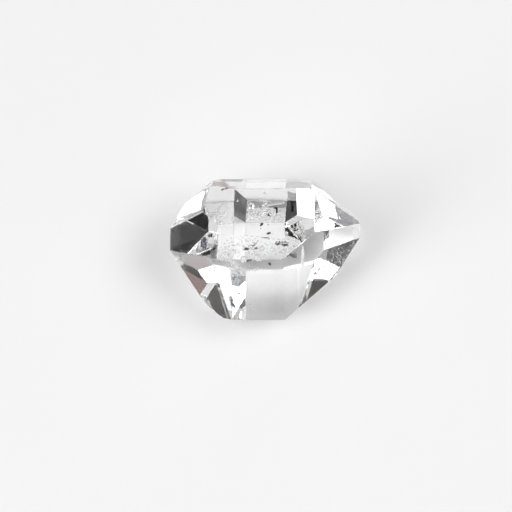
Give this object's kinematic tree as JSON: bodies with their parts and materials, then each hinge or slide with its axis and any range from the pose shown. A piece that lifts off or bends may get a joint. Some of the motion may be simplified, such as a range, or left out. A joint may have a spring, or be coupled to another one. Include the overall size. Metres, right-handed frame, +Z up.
{
  "type": "quartz crystal",
  "caption": "Clear, doubly terminated quartz crystal of the Herkimer habit: stubby hexagonal prism with pointed rhomb-faced ends, lying on a prism face.",
  "frame": {"origin": "centre of the bounding box's footprint, on the plane of the rest face", "axes": "+X along the crystal's c axis towards the sharper end, +Z up from the rest face, +Y away from the large lower front face"},
  "size_m": [0.0282, 0.0208, 0.0165],
  "materials": {
    "quartz": "water-clear natural quartz, glassy growth faces with faint growth marks"
  },
  "bodies": {
    "root": {"crystal": "quartz"}
  },
  "joints": []
}
